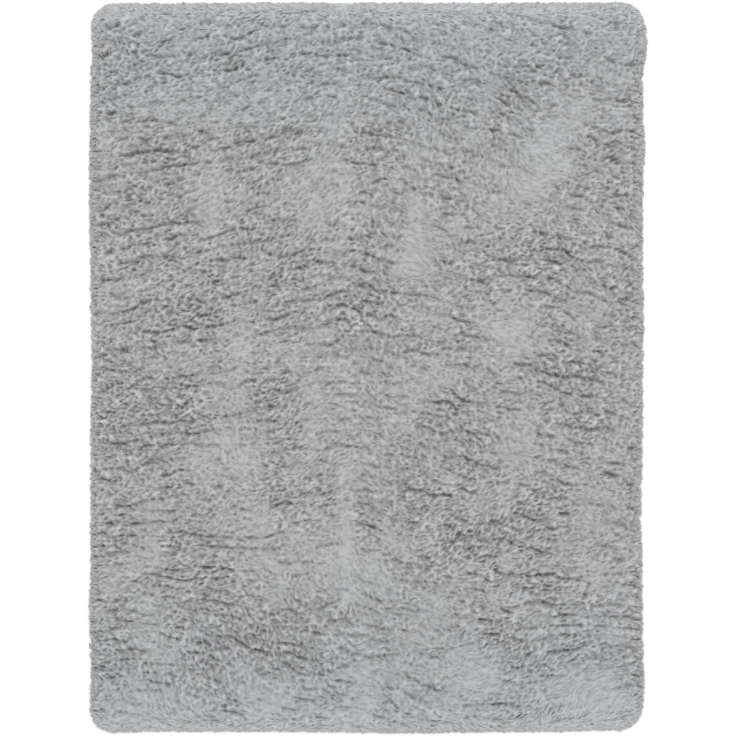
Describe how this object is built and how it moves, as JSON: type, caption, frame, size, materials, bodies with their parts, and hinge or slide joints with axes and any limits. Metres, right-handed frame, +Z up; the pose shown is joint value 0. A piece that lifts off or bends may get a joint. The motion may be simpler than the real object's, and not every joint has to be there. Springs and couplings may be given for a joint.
{
  "type": "shag rug",
  "caption": "Rectangular long-pile shag rug lying flat, with soft rounded corners and loose locks rolling over its edge.",
  "frame": {"origin": "on the floor, under the middle of the rug", "axes": "+Y along the rug's length, +X across its width, +Z up out of the pile"},
  "size_m": [1.2489, 1.6424, 0.0444],
  "materials": {
    "pile": "matte light grey shag pile",
    "backing": "plain woven backing cloth"
  },
  "bodies": {
    "root": {"rug": "pile"}
  },
  "joints": []
}
